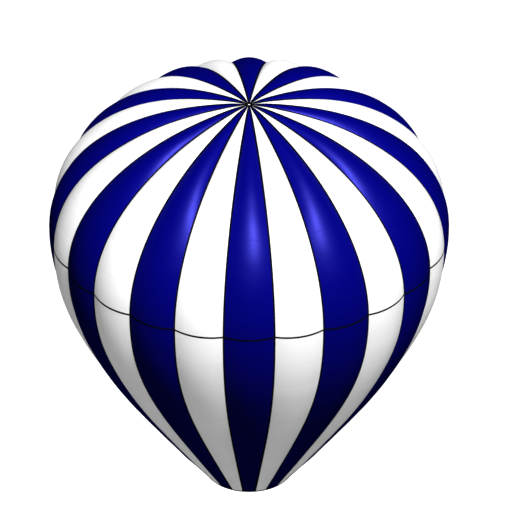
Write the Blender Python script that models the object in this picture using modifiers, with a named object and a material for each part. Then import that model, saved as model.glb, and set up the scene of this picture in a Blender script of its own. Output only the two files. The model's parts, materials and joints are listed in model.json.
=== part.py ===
"""Hot air balloon envelope.

Twenty-four gores are cut in two at the widest line, and each of the forty-eight fabric panels is
its own solid shell. Black load tapes lie in the valleys between the gores and meet in a hub on the
crown, a belt tape covers the level seam, and a hem tape goes round the open mouth.

Metres, +Z up. The origin is the centre of the mouth, in the plane of its rim. The front gore faces
-Y, and gore 1 is the front gore.
"""

from dataclasses import dataclass
from math import asin, atan, cos, hypot, pi, radians, sin, tan

import bmesh
import bpy
from mathutils import Matrix, Vector

# Driving dimensions
GORE_COUNT = 24
SHELL = 0.010
SEAM_RADIUS = 8.106
EQUATOR_HEIGHT = 12.243
CROWN_RISE = 6.153
MOUTH_RADIUS = 1.833
CROWN_END_RADIUS = 0.180

# Handles of the seam's two Bezier curves, each as long as it is from its end point
CROWN_HANDLE_OUT = 5.403
CROWN_HANDLE_DROP = 0.527
EQUATOR_HANDLE_UP = 2.947
EQUATOR_HANDLE_DOWN = 3.710
MOUTH_HANDLE = 7.142
MOUTH_CONE_ANGLE = radians(34.58)

# Gore bulge: its rise over its width. Above the equator it grows inwards from one radius to
# another and falls again beside the hub, and below it grows and then falls to the round mouth
BULGE_ABOVE = 0.125
BULGE_CROWN = 0.260
CROWN_GROWS_FROM = 6.9
CROWN_FULL_AT = 3.2
CROWN_FALLS_FROM = 0.8
CROWN_LEVEL_AT = 0.2
BULGE_LOW = 0.170
BULGE_MOUTH = tan(pi / GORE_COUNT / 2) / 2
BULGE_GROWS_FROM = 0.30
BULGE_LOW_TOP = 0.62
BULGE_LOW_END = 0.86

# Webbing. Near the crown, a tape takes at most this share of the gore's width
TAPE_WIDTH = 0.074
TAPE_CROWN_SHARE = 0.80
TAPE_THICKNESS = 0.003
BELT_WIDTH = 0.082
HEM_WIDTH = 0.110
BAND_THICKNESS = 0.004
TAPE_CLEARANCE = 0.0045
GORE_CLEARANCE = 0.0006

# Crown fittings
HUB_BORE = 0.050
HUB_RISE = 0.0105
RING_BORE = 0.054
RING_RADIUS = 0.084
RING_HEIGHT = 0.014
RING_EDGE = 0.002
RING_STEPS = 48

# Facets
UPPER_ROWS = 7
LOWER_ROWS = 6
INNER_PARTS = 4
GAP = 0.0003

HALF_ANGLE = pi / GORE_COUNT
FRONT = -pi / 2


@dataclass(frozen=True)
class Finish:
    """Colour and surface of a material."""

    name: str
    color: tuple
    roughness: float
    metallic: float = 0.0


BLUE = Finish("blue_fabric", (0.010, 0.010, 0.330), 0.42)
WHITE = Finish("white_fabric", (0.860, 0.860, 0.850), 0.50)
BLACK = Finish("black_webbing", (0.012, 0.012, 0.014), 0.60)
METAL = Finish("dark_aluminium", (0.060, 0.060, 0.065), 0.35, 1.0)


@dataclass(frozen=True)
class Station:
    """One level of the seam: its radius, height, outward normal and the gore's bulge there."""

    radius: float
    height: float
    out: float
    up: float
    bulge: float


def clear_scene():
    for old in list(bpy.data.objects):
        bpy.data.objects.remove(old, do_unlink=True)


def material(finish):
    found = bpy.data.materials.get(finish.name)
    if found:
        return found
    made = bpy.data.materials.new(finish.name)
    made.use_nodes = True
    made.diffuse_color = (*finish.color, 1.0)
    shader = made.node_tree.nodes["Principled BSDF"]
    shader.inputs["Base Color"].default_value = (*finish.color, 1.0)
    shader.inputs["Roughness"].default_value = finish.roughness
    shader.inputs["Metallic"].default_value = finish.metallic
    return made


def mesh_object(name, points, faces, finish, collection):
    """A closed mesh from its points and faces, with its normals facing out."""
    mesh = bpy.data.meshes.new(name)
    mesh.from_pydata(points, [], faces)
    mesh.materials.append(material(finish))
    mesh.validate()
    obj = bpy.data.objects.new(name, mesh)
    collection.objects.link(obj)
    return obj


def bezier(ends, share):
    """Point and direction of a cubic Bezier curve in the plane of radius and height."""
    rest = 1.0 - share
    weights = (rest**3, 3 * rest**2 * share, 3 * rest * share**2, share**3)
    slopes = (-3 * rest**2, 3 * rest**2 - 6 * rest * share, 6 * rest * share - 3 * share**2, 3 * share**2)
    place = [sum(w * end[axis] for w, end in zip(weights, ends)) for axis in (0, 1)]
    along = [sum(w * end[axis] for w, end in zip(slopes, ends)) for axis in (0, 1)]
    size = hypot(*along)
    return place, (along[0] / size, along[1] / size)


def smooth_step(low, high, value):
    share = min(max((value - low) / (high - low), 0.0), 1.0)
    return share * share * (3.0 - 2.0 * share)


def upper_curve():
    top = EQUATOR_HEIGHT + CROWN_RISE
    return (
        (0.0, top),
        (CROWN_HANDLE_OUT, top - CROWN_HANDLE_DROP),
        (SEAM_RADIUS, EQUATOR_HEIGHT + EQUATOR_HANDLE_UP),
        (SEAM_RADIUS, EQUATOR_HEIGHT),
    )


def lower_curve():
    cone_out = MOUTH_HANDLE * sin(MOUTH_CONE_ANGLE)
    cone_up = MOUTH_HANDLE * cos(MOUTH_CONE_ANGLE)
    return (
        (SEAM_RADIUS, EQUATOR_HEIGHT),
        (SEAM_RADIUS, EQUATOR_HEIGHT - EQUATOR_HANDLE_DOWN),
        (MOUTH_RADIUS + cone_out, cone_up),
        (MOUTH_RADIUS, 0.0),
    )


def bulge_at(radius, height):
    """The bulge is fullest near the crown, full low down, and falls to a round mouth."""
    if height > EQUATOR_HEIGHT:
        inwards = 1.0 - smooth_step(CROWN_FULL_AT, CROWN_GROWS_FROM, radius)
        beside_hub = smooth_step(CROWN_LEVEL_AT, CROWN_FALLS_FROM, radius)
        return BULGE_ABOVE + (BULGE_CROWN - BULGE_ABOVE) * inwards * beside_hub
    share = 1.0 - height / EQUATOR_HEIGHT
    fuller = BULGE_ABOVE + (BULGE_LOW - BULGE_ABOVE) * smooth_step(BULGE_GROWS_FROM, BULGE_LOW_TOP, share)
    return fuller + (BULGE_MOUTH - fuller) * smooth_step(BULGE_LOW_END, 1.0, share)


def station(curve, share):
    (radius, height), (along_out, along_up) = bezier(curve, share)
    return Station(radius, height, -along_up, along_out, bulge_at(radius, height))


def share_at_radius(curve, radius):
    """The share of a curve, found by halving, at which it first reaches a radius."""
    low, high = 0.0, 1.0
    for _ in range(40):
        middle = (low + high) / 2
        if bezier(curve, middle)[0][0] < radius:
            low = middle
        else:
            high = middle
    return high


def upper_stations():
    curve = upper_curve()
    first = share_at_radius(curve, CROWN_END_RADIUS)
    steps = [first + (1.0 - first) * row / UPPER_ROWS for row in range(UPPER_ROWS + 1)]
    return [station(curve, share) for share in steps]


def lower_stations():
    """Even steps down to the top of the hem, and then the mouth."""
    curve = lower_curve()
    last = 1.0 - HEM_WIDTH / (3 * MOUTH_HANDLE)
    return [station(curve, last * row / LOWER_ROWS) for row in range(LOWER_ROWS + 1)] + [station(curve, 1.0)]


def gore_arc(level, depth, inset):
    """Radius of a gore's arc at some depth under its outside, and the angle of its edge.

    The edge lies in the plane of the seam, moved into the gore by the inset.
    """
    chord = 2 * level.radius * sin(HALF_ANGLE)
    rise = level.bulge * chord
    outer = chord**2 / (8 * rise) + rise / 2
    centre = level.radius * cos(HALF_ANGLE) - outer * cos(asin(chord / 2 / outer)) * level.out
    radius = outer - depth
    tilt = atan(tan(HALF_ANGLE) * level.out)
    reach = (tan(HALF_ANGLE) * centre - inset / cos(HALF_ANGLE)) / radius
    return radius, outer * cos(asin(chord / 2 / outer)), tilt + asin(reach * cos(tilt))


def gore_point(level, arc_radius, arc_drop, angle, turn):
    """A point of a gore's arc, which rises along the seam's normal and is turned round the axis."""
    rise = arc_radius * cos(angle) - arc_drop
    across = arc_radius * sin(angle)
    out = level.radius * cos(HALF_ANGLE) + rise * level.out
    height = level.height + rise * level.up
    return Vector((out * cos(turn) - across * sin(turn), out * sin(turn) + across * cos(turn), height))


def tape_width(level):
    return min(TAPE_WIDTH, TAPE_CROWN_SHARE * 2 * level.radius * sin(HALF_ANGLE))


def outer_angles(level, inset):
    """Angles of the outside columns: the edge, the tape's edge and the parts between."""
    radius, drop, edge = gore_arc(level, 0.0, inset)
    tape = edge - tape_width(level) / 2 / radius
    return radius, drop, (-edge, -tape, -tape / 2, 0.0, tape / 2, tape, edge)


def outer_row(level, turn, inset=GAP / 2):
    radius, drop, angles = outer_angles(level, inset)
    return [gore_point(level, radius, drop, angle, turn) for angle in angles]


def inner_row(level, turn, inset=GAP / 2):
    radius, drop, edge = gore_arc(level, SHELL, inset)
    angles = [edge * (2 * part / INNER_PARTS - 1) for part in range(INNER_PARTS + 1)]
    return [gore_point(level, radius, drop, angle, turn) for angle in angles]


def run_to_height(row, next_row, height):
    """Slides each point of an end row along its own line, so that the row ends in a level plane."""
    moved = []
    for point, other in zip(row, next_row):
        share = (height - point.z) / (other.z - point.z)
        moved.append(point.lerp(other, share))
    return moved


def cut_level(rows, cuts):
    """Makes rows level, each cut being a row's number, its neighbour's number and its height."""
    for row, neighbour, height in cuts:
        rows[row] = run_to_height(rows[row], rows[neighbour], height)
    return rows


def mouth_cuts():
    """The top of the hem and the mouth are both level."""
    return ((-2, -3, lower_stations()[-2].height), (-1, -2, 0.0))


def quad_strip(first, second, flip):
    """Faces between two rows of point numbers. Each has its diagonal from the first row's start."""
    faces = []
    for start in range(len(first) - 1):
        face = (first[start], second[start], second[start + 1], first[start + 1])
        faces.append(face[:1] + face[:0:-1] if flip else face)
    return faces


def gore_panel(name, levels, turn, cuts, finish, collection):
    """A panel: an outside and an inside grid, closed by its two seam edges and two ends."""
    outside = cut_level([outer_row(level, turn) for level in levels], cuts)
    inside = cut_level([inner_row(level, turn) for level in levels], cuts)
    points = [point for row in outside + inside for point in row]
    outer_width, inner_width = len(outside[0]), len(inside[0])
    first_inner = outer_width * len(outside)
    outer = [[r * outer_width + c for c in range(outer_width)] for r in range(len(outside))]
    inner = [[first_inner + r * inner_width + c for c in range(inner_width)] for r in range(len(inside))]
    faces = []
    for row in range(len(levels) - 1):
        faces += quad_strip(outer[row], outer[row + 1], False)
        faces += quad_strip(inner[row], inner[row + 1], True)
        faces.append((outer[row][0], inner[row][0], inner[row + 1][0], outer[row + 1][0]))
        faces.append((outer[row][-1], outer[row + 1][-1], inner[row + 1][-1], inner[row][-1]))
    faces.append(tuple(outer[0] + inner[0][::-1]))
    faces.append(tuple(outer[-1][::-1] + inner[-1]))
    return mesh_object(name, points, faces, finish, collection)


def seam_normal(level, turn):
    return Vector((level.out * cos(turn), level.out * sin(turn), level.up))


def tape_section(levels, rows_left, rows_right, row, turn):
    """Five corners of a tape: left top, left foot, valley, right foot and right top.

    Its underside keeps the gap to the two gores, which it touches out to its own edges.
    """
    normal = seam_normal(levels[row], turn)
    left = rows_left[row][-2]
    right = rows_right[row][1]
    valley = (rows_left[row][-1] + rows_right[row][0]) / 2
    foot = normal * GAP
    top = normal * (GAP + TAPE_THICKNESS)
    return [left + top, left + foot, valley + foot, right + foot, right + top]


def load_tapes(collection):
    """All load tapes and the hub that joins them on the crown, as one body."""
    levels = upper_stations() + lower_stations()[1:]
    points, faces = [], []
    gores = []
    for gore in range(GORE_COUNT):
        rows = [outer_row(level, gore_turn(gore)) for level in levels]
        gores.append(cut_level(rows, mouth_cuts()))
    starts = []
    for seam in range(GORE_COUNT):
        turn = gore_turn(seam) + HALF_ANGLE
        first = len(points)
        starts.append(first)
        for row in range(len(levels)):
            section = tape_section(levels, gores[seam], gores[(seam + 1) % GORE_COUNT], row, turn)
            if row == len(levels) - 1:
                section = [corner - Vector((0, 0, corner.z)) for corner in section]
            points += section
        for row in range(len(levels) - 1):
            here, below = first + 5 * row, first + 5 * (row + 1)
            faces.append((here, below, below + 4, here + 4))
            for corner in range(4):
                upper = (here + corner, here + corner + 1)
                lower = (below + corner, below + corner + 1)
                faces.append((upper[0], upper[1], lower[1], lower[0]))
        last = first + 5 * (len(levels) - 1)
        faces.append((last, last + 1, last + 2, last + 3, last + 4))
    add_hub(points, faces, starts, levels[0].height)
    return mesh_object("load_tapes", points, faces, BLACK, collection)


def add_hub(points, faces, starts, height):
    """A ring plate whose rim is the tapes' first sections and whose bore shows the crown cap."""
    bore = len(points)
    for seam in range(GORE_COUNT):
        turn = gore_turn(seam) + HALF_ANGLE
        for level in (height + HUB_RISE, height + GAP):
            points.append(Vector((HUB_BORE * cos(turn), HUB_BORE * sin(turn), level)))
    for seam in range(GORE_COUNT):
        after = (seam + 1) % GORE_COUNT
        top, foot = bore + 2 * seam, bore + 2 * seam + 1
        next_top, next_foot = bore + 2 * after, bore + 2 * after + 1
        here, beyond = starts[seam], starts[after]
        faces.append((top, here, here + 4))
        faces.append((top, here + 4, beyond, next_top))
        faces.append((foot, here + 2, here + 1))
        faces.append((foot, here + 3, here + 2))
        faces.append((foot, next_foot, beyond + 1, here + 3))
        faces.append((here + 4, here + 3, beyond + 1, beyond))
        faces.append((top, next_top, next_foot, foot))


def gore_turn(gore):
    return FRONT + 2 * HALF_ANGLE * gore


def band_ring(rows, height, rise):
    """Points round a level, just outside the tapes and the gores, moved outwards by the rise."""
    ring = []
    for gore, row in enumerate(rows):
        turn = gore_turn(gore)
        turns = (turn - HALF_ANGLE, turn, turn, turn, turn + HALF_ANGLE)
        clear = (TAPE_CLEARANCE, GORE_CLEARANCE, GORE_CLEARANCE, GORE_CLEARANCE, TAPE_CLEARANCE)
        for point, way, space in zip(row[1:-1], turns, clear):
            size = space + rise
            ring.append(Vector((point.x + size * cos(way), point.y + size * sin(way), height)))
    return ring


def band(name, rings, finish, collection):
    """A closed band from four rings of points: outside top and foot, inside foot and top."""
    count = len(rings[0])
    points = [point for ring in rings for point in ring]
    faces = []
    for level in range(4):
        here, beyond = level * count, ((level + 1) % 4) * count
        for start in range(count):
            after = (start + 1) % count
            faces.append((here + start, beyond + start, beyond + after, here + after))
    return mesh_object(name, points, faces, finish, collection)


def equator_belt(collection):
    rows = [outer_row(upper_stations()[-1], gore_turn(gore)) for gore in range(GORE_COUNT)]
    high = EQUATOR_HEIGHT + BELT_WIDTH / 2
    low = EQUATOR_HEIGHT - BELT_WIDTH / 2
    corners = ((high, BAND_THICKNESS), (low, BAND_THICKNESS), (low, 0.0), (high, 0.0))
    rings = [band_ring(rows, height, rise) for height, rise in corners]
    return band("equator_belt", rings, BLACK, collection)


def mouth_hem(collection):
    levels = lower_stations()
    tops, feet = [], []
    for gore in range(GORE_COUNT):
        rows = cut_level([outer_row(level, gore_turn(gore)) for level in levels[-3:]], mouth_cuts())
        tops.append(rows[-2])
        feet.append(rows[-1])
    high = levels[-2].height
    thickness = BAND_THICKNESS / cos(MOUTH_CONE_ANGLE)
    corners = ((tops, high, thickness), (feet, 0.0, thickness), (feet, 0.0, 0.0), (tops, high, 0.0))
    rings = [band_ring(rows, height, rise) for rows, height, rise in corners]
    return band("mouth_hem", rings, BLACK, collection)


def crown_cap(collection):
    """A flat disc with one side for each gore, which closes the crown between their ends."""
    level = upper_stations()[0]
    mesh = bpy.data.meshes.new("crown_cap")
    build = bmesh.new()
    top = level.radius - GAP
    foot = top - SHELL * level.out
    bmesh.ops.create_cone(
        build, cap_ends=True, segments=GORE_COUNT, radius1=foot, radius2=top, depth=SHELL
    )
    bmesh.ops.rotate(build, verts=build.verts, matrix=Matrix.Rotation(HALF_ANGLE, 3, "Z"))
    build.to_mesh(mesh)
    build.free()
    mesh.materials.append(material(WHITE))
    obj = bpy.data.objects.new("crown_cap", mesh)
    obj.location = (0, 0, level.height - SHELL / 2)
    collection.objects.link(obj)
    return obj


def crown_ring(collection):
    """A turned ring with broken edges, whose flat top is the interface of the crown line."""
    base = upper_stations()[0].height + HUB_RISE + GAP
    top = base + RING_HEIGHT
    profile = (
        (RING_BORE + RING_EDGE, top),
        (RING_RADIUS - RING_EDGE, top),
        (RING_RADIUS, top - RING_EDGE),
        (RING_RADIUS, base + RING_EDGE),
        (RING_RADIUS - RING_EDGE, base),
        (RING_BORE + RING_EDGE, base),
        (RING_BORE, base + RING_EDGE),
        (RING_BORE, top - RING_EDGE),
    )
    count = len(profile)
    mesh = bpy.data.meshes.new("crown_ring")
    edges = [(corner, (corner + 1) % count) for corner in range(count)]
    mesh.from_pydata([(radius, 0.0, height) for radius, height in profile], edges, [])
    mesh.materials.append(material(METAL))
    obj = bpy.data.objects.new("crown_ring", mesh)
    collection.objects.link(obj)
    screw = obj.modifiers.new("turn", "SCREW")
    screw.steps = RING_STEPS
    screw.render_steps = RING_STEPS
    screw.use_merge_vertices = True
    screw.merge_threshold = 0.0001
    return obj


def main():
    clear_scene()
    collection = bpy.data.collections.new("hot_air_balloon_envelope")
    bpy.context.scene.collection.children.link(collection)
    upper, lower = upper_stations(), lower_stations()
    foot = ((-1, -2, EQUATOR_HEIGHT + GAP / 2),)
    ends = ((0, 1, EQUATOR_HEIGHT - GAP / 2), *mouth_cuts())
    for gore in range(GORE_COUNT):
        finish = BLUE if gore % 2 == 0 else WHITE
        turn = gore_turn(gore)
        gore_panel(f"gore_upper_{gore + 1:02d}", upper, turn, foot, finish, collection)
        gore_panel(f"gore_lower_{gore + 1:02d}", lower, turn, ends, finish, collection)
    load_tapes(collection)
    equator_belt(collection)
    mouth_hem(collection)
    crown_cap(collection)
    crown_ring(collection)


main()
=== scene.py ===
"""Looks of a hot air balloon envelope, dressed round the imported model.

Metres, +Z up, with the origin at the centre of the mouth, in the plane of its rim. The front gore
faces -Y. Every new piece is a surface worked out with numpy on a grid, in the frame's own
coordinates, and rides on the body root.
"""

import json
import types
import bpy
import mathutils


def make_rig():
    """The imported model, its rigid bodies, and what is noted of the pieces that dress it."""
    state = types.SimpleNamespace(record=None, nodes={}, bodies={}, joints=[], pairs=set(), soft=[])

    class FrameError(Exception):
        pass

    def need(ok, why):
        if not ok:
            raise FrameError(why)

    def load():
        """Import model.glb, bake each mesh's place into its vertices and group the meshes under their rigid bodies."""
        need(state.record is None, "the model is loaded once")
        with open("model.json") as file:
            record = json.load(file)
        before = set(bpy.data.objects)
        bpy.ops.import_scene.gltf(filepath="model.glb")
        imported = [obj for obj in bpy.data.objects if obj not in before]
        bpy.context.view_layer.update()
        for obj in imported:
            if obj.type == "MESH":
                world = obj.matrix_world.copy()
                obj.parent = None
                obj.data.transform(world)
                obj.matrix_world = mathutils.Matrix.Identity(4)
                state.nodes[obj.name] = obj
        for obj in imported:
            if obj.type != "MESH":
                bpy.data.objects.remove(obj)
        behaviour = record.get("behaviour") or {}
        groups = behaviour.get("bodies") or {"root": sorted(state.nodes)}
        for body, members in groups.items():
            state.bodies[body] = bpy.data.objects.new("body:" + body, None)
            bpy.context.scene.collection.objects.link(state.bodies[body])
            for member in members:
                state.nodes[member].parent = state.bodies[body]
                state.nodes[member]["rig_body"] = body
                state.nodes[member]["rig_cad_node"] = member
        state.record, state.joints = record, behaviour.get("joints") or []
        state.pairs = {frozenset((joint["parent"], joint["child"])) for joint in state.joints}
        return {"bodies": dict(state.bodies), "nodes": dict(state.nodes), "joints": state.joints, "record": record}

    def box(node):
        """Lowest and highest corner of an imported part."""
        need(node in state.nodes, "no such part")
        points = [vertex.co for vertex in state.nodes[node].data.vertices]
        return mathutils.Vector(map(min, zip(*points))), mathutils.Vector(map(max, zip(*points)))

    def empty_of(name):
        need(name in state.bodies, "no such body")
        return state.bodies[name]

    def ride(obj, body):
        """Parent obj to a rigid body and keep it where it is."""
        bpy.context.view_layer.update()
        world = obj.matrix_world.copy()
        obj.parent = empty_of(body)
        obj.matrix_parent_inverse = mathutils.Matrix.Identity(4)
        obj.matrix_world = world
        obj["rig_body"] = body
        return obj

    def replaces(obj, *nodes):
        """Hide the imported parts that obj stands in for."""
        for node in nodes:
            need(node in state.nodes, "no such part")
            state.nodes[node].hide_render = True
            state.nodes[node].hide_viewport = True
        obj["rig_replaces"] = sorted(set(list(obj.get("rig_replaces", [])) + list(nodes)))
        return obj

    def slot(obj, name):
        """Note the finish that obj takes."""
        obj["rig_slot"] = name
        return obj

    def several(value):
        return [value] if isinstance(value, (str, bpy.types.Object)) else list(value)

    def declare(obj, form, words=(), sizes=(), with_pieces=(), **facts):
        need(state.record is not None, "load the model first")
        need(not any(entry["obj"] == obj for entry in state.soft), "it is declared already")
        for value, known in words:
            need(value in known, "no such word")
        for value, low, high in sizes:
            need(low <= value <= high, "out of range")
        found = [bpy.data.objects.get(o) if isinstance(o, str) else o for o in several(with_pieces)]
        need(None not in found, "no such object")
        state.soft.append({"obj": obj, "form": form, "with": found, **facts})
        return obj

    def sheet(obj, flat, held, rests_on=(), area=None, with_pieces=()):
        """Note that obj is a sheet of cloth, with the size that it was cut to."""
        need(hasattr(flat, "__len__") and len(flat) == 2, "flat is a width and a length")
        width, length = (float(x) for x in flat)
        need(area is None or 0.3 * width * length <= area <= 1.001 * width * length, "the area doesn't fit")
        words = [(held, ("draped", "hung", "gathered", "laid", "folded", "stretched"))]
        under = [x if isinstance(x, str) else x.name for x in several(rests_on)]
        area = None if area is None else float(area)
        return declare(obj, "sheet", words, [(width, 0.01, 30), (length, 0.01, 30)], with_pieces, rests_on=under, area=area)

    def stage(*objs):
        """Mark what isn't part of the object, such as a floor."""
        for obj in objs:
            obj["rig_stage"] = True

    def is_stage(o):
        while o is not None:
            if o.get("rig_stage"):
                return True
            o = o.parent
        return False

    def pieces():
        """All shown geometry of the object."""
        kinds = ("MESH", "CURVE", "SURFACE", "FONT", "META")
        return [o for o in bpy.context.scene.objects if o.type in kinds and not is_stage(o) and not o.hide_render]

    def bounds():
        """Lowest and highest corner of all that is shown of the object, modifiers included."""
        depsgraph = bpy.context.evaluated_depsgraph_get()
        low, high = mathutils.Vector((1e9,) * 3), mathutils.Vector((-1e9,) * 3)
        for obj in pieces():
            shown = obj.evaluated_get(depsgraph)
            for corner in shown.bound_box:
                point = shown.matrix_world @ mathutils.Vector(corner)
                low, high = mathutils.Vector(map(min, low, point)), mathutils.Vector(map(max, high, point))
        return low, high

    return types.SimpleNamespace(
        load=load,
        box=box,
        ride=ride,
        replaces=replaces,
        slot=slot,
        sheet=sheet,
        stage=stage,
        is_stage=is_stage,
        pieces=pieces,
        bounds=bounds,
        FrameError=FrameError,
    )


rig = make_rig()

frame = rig.load()

import json
import logging
from dataclasses import dataclass, field
from enum import Enum
from math import atan2, cos, pi, radians, sin, tan

import bpy
import numpy as np
from mathutils import Matrix, Vector

log = logging.getLogger("envelope")

BODY = "root"
SIZE_FILE = "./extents.json"
CAD_LOW, CAD_HIGH = (list(corner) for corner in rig.bounds())


class Half(Enum):
    """The two halves that each gore is cut in, at the widest line."""

    UPPER = "upper"
    LOWER = "lower"


class Cloth(Enum):
    """The colours of the gores."""

    BLUE = "blue_fabric"
    WHITE = "white_fabric"


@dataclass(frozen=True)
class Levels:
    """Stations down a seam, as whole arrays.

    Radius and height place the seam, out and up are its outward normal, and length is the way
    along it from its first station.
    """

    radius: np.ndarray
    height: np.ndarray
    out: np.ndarray
    up: np.ndarray
    bulge: np.ndarray
    length: np.ndarray


@dataclass(frozen=True)
class EnvelopeShape:
    """The inflated form: a seam of two Bezier curves, and gores that bulge between the seams."""

    gore_count: int = 24
    shell: float = 0.010
    seam_radius: float = 8.106
    equator_height: float = 12.243
    crown_height: float = 18.396
    mouth_radius: float = 1.833
    crown_handle_out: float = 5.403
    crown_handle_drop: float = 0.527
    equator_handle_up: float = 2.947
    equator_handle_down: float = 3.710
    mouth_handle: float = 7.142
    mouth_cone_angle: float = radians(34.58)
    bulge_above: float = 0.125
    bulge_crown: float = 0.260
    bulge_crown_band: tuple[float, float] = (3.2, 6.9)
    bulge_hub_band: tuple[float, float] = (0.2, 0.8)
    bulge_low: float = 0.170
    bulge_low_band: tuple[float, float] = (0.30, 0.62)
    bulge_end: float = 0.86
    curve_samples: int = 4000

    @property
    def half_angle(self) -> float:
        """Half of the angle that one gore covers."""
        return pi / self.gore_count

    @property
    def bulge_mouth(self) -> float:
        """The bulge at which the gores' arcs make one circle, as they do at the mouth."""
        return tan(self.half_angle / 2) / 2

    def gore_turn(self, gore: int) -> float:
        """The angle of a gore's middle, counted from the front gore."""
        return -pi / 2 + 2 * self.half_angle * gore

    def seam_turn(self, seam: int) -> float:
        """The angle of the seam that follows a gore."""
        return self.gore_turn(seam) + self.half_angle

    def handles(self, half: Half) -> np.ndarray:
        """The four points of one half's Bezier curve, in radius and height, from its top down."""
        equator = (self.seam_radius, self.equator_height)
        if half is Half.UPPER:
            near_top = (self.crown_handle_out, self.crown_height - self.crown_handle_drop)
            above = (self.seam_radius, self.equator_height + self.equator_handle_up)
            return np.array([(0.0, self.crown_height), near_top, above, equator])
        below = (self.seam_radius, self.equator_height - self.equator_handle_down)
        cone_out = self.mouth_handle * sin(self.mouth_cone_angle)
        cone_up = self.mouth_handle * cos(self.mouth_cone_angle)
        near_mouth = (self.mouth_radius + cone_out, cone_up)
        return np.array([equator, below, near_mouth, (self.mouth_radius, 0.0)])

    def bulge(self, radius: np.ndarray, height: np.ndarray) -> np.ndarray:
        """Rise over width of a gore: fuller towards the crown and low down, round at the mouth.

        Args:
            radius: Radii of the seam.
            height: Heights of the seam.

        Returns:
            The bulge at each place, from smooth steps inwards to the crown and down to the mouth.
        """
        down = 1.0 - height / self.equator_height
        inwards = (1.0 - smooth_step(*self.bulge_crown_band, radius)) * smooth_step(*self.bulge_hub_band, radius)
        crown = (self.bulge_crown - self.bulge_above) * inwards * (down < 0.0)
        low = (self.bulge_low - self.bulge_above) * smooth_step(*self.bulge_low_band, down)
        fuller = self.bulge_above + crown + low
        return fuller + (self.bulge_mouth - fuller) * smooth_step(self.bulge_end, 1.0, down)

    def levels(self, half: Half, rows: int, first: float = 0.0, last: float = 0.0) -> Levels:
        """Evenly spaced stations of one half's seam.

        Each point of the curve is the sum of its four handles, weighted by the cubic Bernstein
        polynomials of the share t, and its normal is its direction turned a quarter outwards.

        Args:
            half: The upper or the lower half.
            rows: How many stations.
            first: Length left out at the top, in metres.
            last: Length left out at the foot, in metres.

        Returns:
            The stations from the top down.
        """
        share = np.linspace(0.0, 1.0, self.curve_samples)
        fine, _ = bezier(self.handles(half), share)
        along = np.concatenate([[0.0], np.cumsum(np.hypot(*np.diff(fine, axis=0).T))])
        wanted = np.linspace(first, along[-1] - last, rows)
        place, direction = bezier(self.handles(half), np.interp(wanted, along, share))
        radius, height = place.T
        bulge = self.bulge(radius, height)
        return Levels(radius, height, -direction[:, 1], direction[:, 0], bulge, wanted)

    def arc(self, levels: Levels, depth: float = 0.0) -> tuple[np.ndarray, np.ndarray, np.ndarray]:
        """A gore's arc at each station, at some depth under its outside.

        With chord c and rise s, the outside arc has the radius c^2 / 8s + s / 2. The edge is where
        the arc at that depth meets the seam's plane, which leans by atan(tan(half angle) * out).

        Args:
            levels: Stations of the seam.
            depth: Depth under the outside, in metres.

        Returns:
            The arc's radius, the drop from its centre to the chord, and the angle of its edge.
        """
        chord = 2 * levels.radius * sin(self.half_angle)
        rise = levels.bulge * chord
        outer = chord**2 / (8 * rise) + rise / 2
        drop = np.sqrt(outer**2 - chord**2 / 4)
        centre = levels.radius * cos(self.half_angle) - drop * levels.out
        lean = np.arctan(tan(self.half_angle) * levels.out)
        reach = tan(self.half_angle) * centre / (outer - depth)
        return outer - depth, drop, lean + np.arcsin(reach * np.cos(lean))

    def gore_surface(
        self, levels: Levels, across: np.ndarray, depth: float = 0.0, relief: np.ndarray | float = 0.0
    ) -> np.ndarray:
        """Points of the front gore, as a function of its station and of the share across it.

        At angle a of its arc a point lies R sin a to the side and R cos a - drop above the chord,
        where above is along the seam's normal.

        Args:
            levels: Stations of the seam.
            across: Shares from -1 at one seam to 1 at the other, the same ones or other ones at each station.
            depth: Depth under the outside, in metres.
            relief: Rise over the smooth arc, for each station and share.

        Returns:
            An array of (stations, shares, 3), with the gore's middle on the plane of +X.
        """
        radius, drop, edge = self.arc(levels, depth)
        angle = edge[:, None] * np.atleast_2d(across)
        size = radius[:, None] + relief
        rise = size * np.cos(angle) - drop[:, None]
        out = levels.radius[:, None] * cos(self.half_angle) + rise * levels.out[:, None]
        height = levels.height[:, None] + rise * levels.up[:, None]
        return np.stack([out, size * np.sin(angle), height], axis=-1)


def smooth_step(low: float, high: float, value: np.ndarray) -> np.ndarray:
    """The cubic 3t^2 - 2t^3 of the share t of the way from low to high, held at its ends."""
    share = np.clip((value - low) / (high - low), 0.0, 1.0)
    return share * share * (3.0 - 2.0 * share)


def bezier(handles: np.ndarray, share: np.ndarray) -> tuple[np.ndarray, np.ndarray]:
    """Points and unit directions of a cubic Bezier curve at an array of shares."""
    t, rest = share[:, None], 1.0 - share[:, None]
    place = rest**3 * handles[0] + 3 * rest**2 * t * handles[1] + 3 * rest * t**2 * handles[2] + t**3 * handles[3]
    steps = np.diff(handles, axis=0)
    slope = rest**2 * steps[0] + 2 * rest * t * steps[1] + t**2 * steps[2]
    return place, slope / np.linalg.norm(slope, axis=1, keepdims=True)


def turned(points: np.ndarray, turn: float) -> np.ndarray:
    """The points turned round the Z axis."""
    c, s = cos(turn), sin(turn)
    return points @ np.array([[c, s, 0.0], [-s, c, 0.0], [0.0, 0.0, 1.0]])


def run_level(rows: np.ndarray, row: int, neighbour: int, height: float) -> None:
    """Slides the points of one row along their own lines, in place, so that the row is level."""
    share = (height - rows[row, :, 2]) / (rows[neighbour, :, 2] - rows[row, :, 2])
    rows[row] += share[:, None] * (rows[neighbour] - rows[row])


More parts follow.
